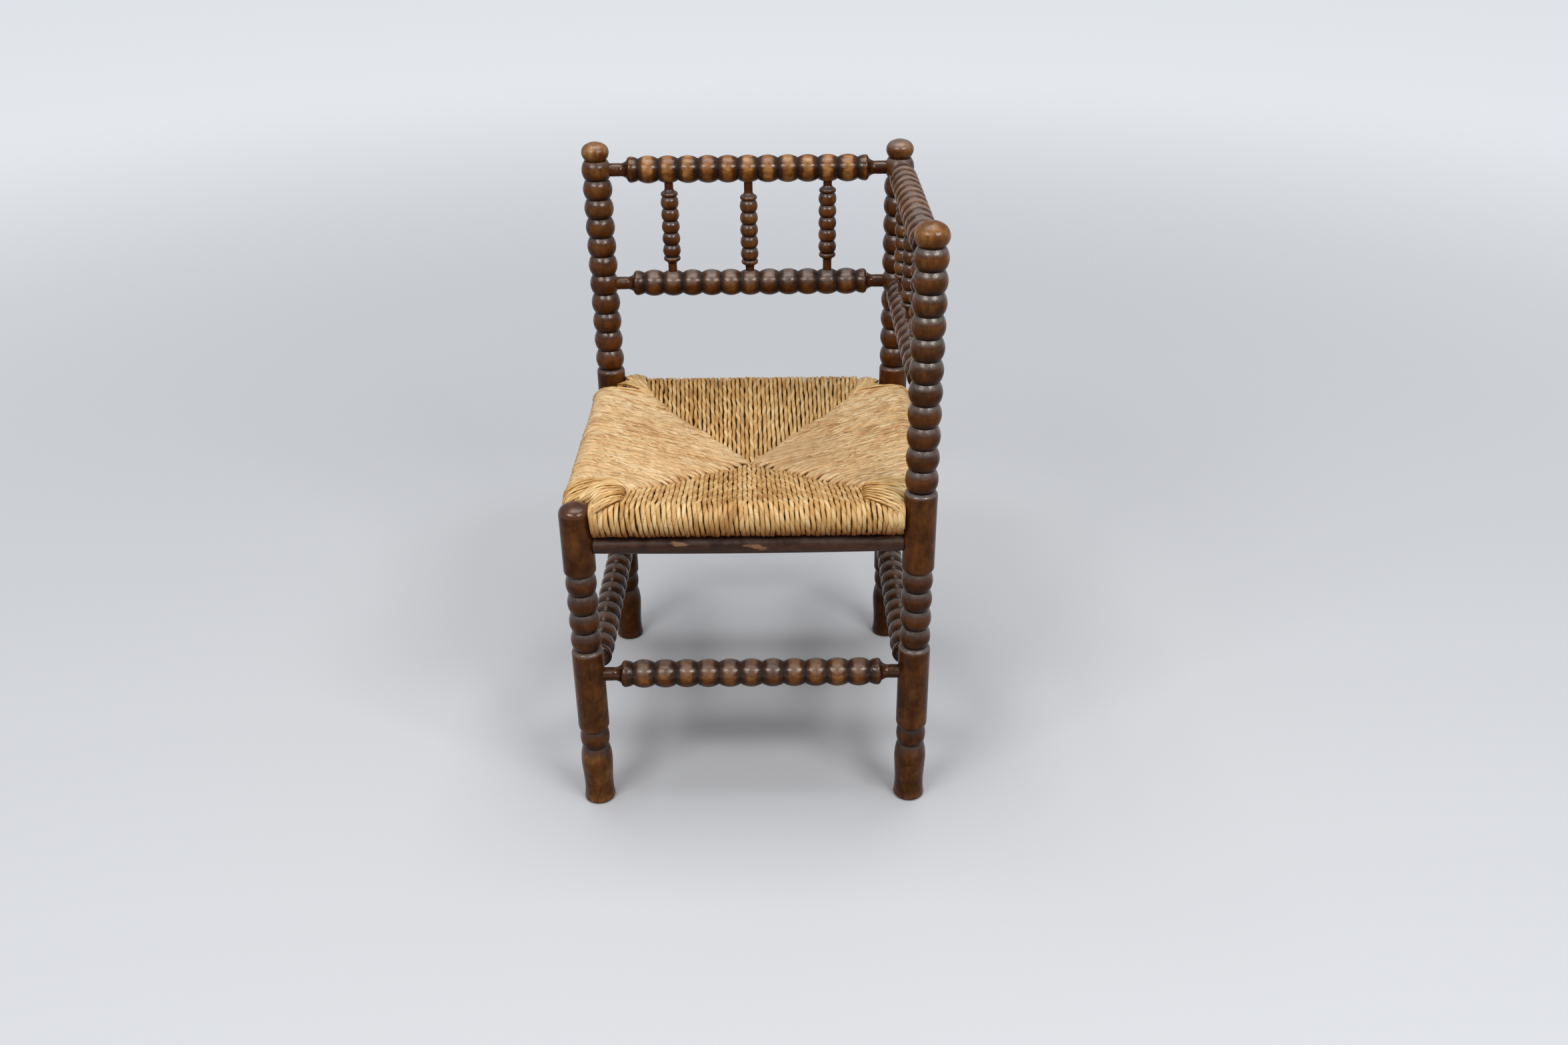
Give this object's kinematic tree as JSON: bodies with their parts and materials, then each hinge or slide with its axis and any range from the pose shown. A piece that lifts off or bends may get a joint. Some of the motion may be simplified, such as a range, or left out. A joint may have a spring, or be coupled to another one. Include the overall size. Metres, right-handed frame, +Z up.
{
  "type": "corner chair",
  "caption": "Bobbin-turned corner chair with open spindle panels on the back and one side, an open front corner and a square rush seat.",
  "frame": {"origin": "on the floor under the middle of the chair", "axes": "+Z up, -Y the front of the seat, +X the sitter's left, which is the side that carries a panel"},
  "size_m": [0.4416, 0.427, 0.7553],
  "materials": {
    "post_wood": "dark stained, worn to amber on the crests, satin wax",
    "top_rail_wood": "stained, worn to golden brown on the crests, satin wax",
    "lower_rail_wood": "dark stained with a greyish film of dust, satin wax",
    "spindle_wood": "dark stained, satin wax",
    "stretcher_wood": "dark reddish brown stain, satin wax",
    "under_rail_wood": "dark stained, rubbed through in patches",
    "seat_rail_wood": "bare turned wood",
    "rush": "twisted dry rush, matt with a soft sheen along the fibres",
    "stuffing": "packed broken rush"
  },
  "bodies": {
    "root": {"front_left_leg": "post_wood", "front_right_post": "post_wood", "back_left_post": "post_wood", "back_right_post": "post_wood", "back_top_rail": "top_rail_wood", "side_top_rail": "top_rail_wood", "back_lower_rail": "lower_rail_wood", "side_lower_rail": "lower_rail_wood", "back_spindle_left": "spindle_wood", "back_spindle_middle": "spindle_wood", "back_spindle_right": "spindle_wood", "side_spindle_front": "spindle_wood", "side_spindle_middle": "spindle_wood", "side_spindle_back": "spindle_wood", "front_stretcher": "stretcher_wood", "back_stretcher": "stretcher_wood", "left_stretcher": "stretcher_wood", "right_stretcher": "stretcher_wood", "front_under_rail": "under_rail_wood", "front_seat_rail": "seat_rail_wood", "back_seat_rail": "seat_rail_wood", "left_seat_rail": "seat_rail_wood", "right_seat_rail": "seat_rail_wood", "rush_seat": "rush", "seat_stuffing": "stuffing"}
  },
  "joints": []
}
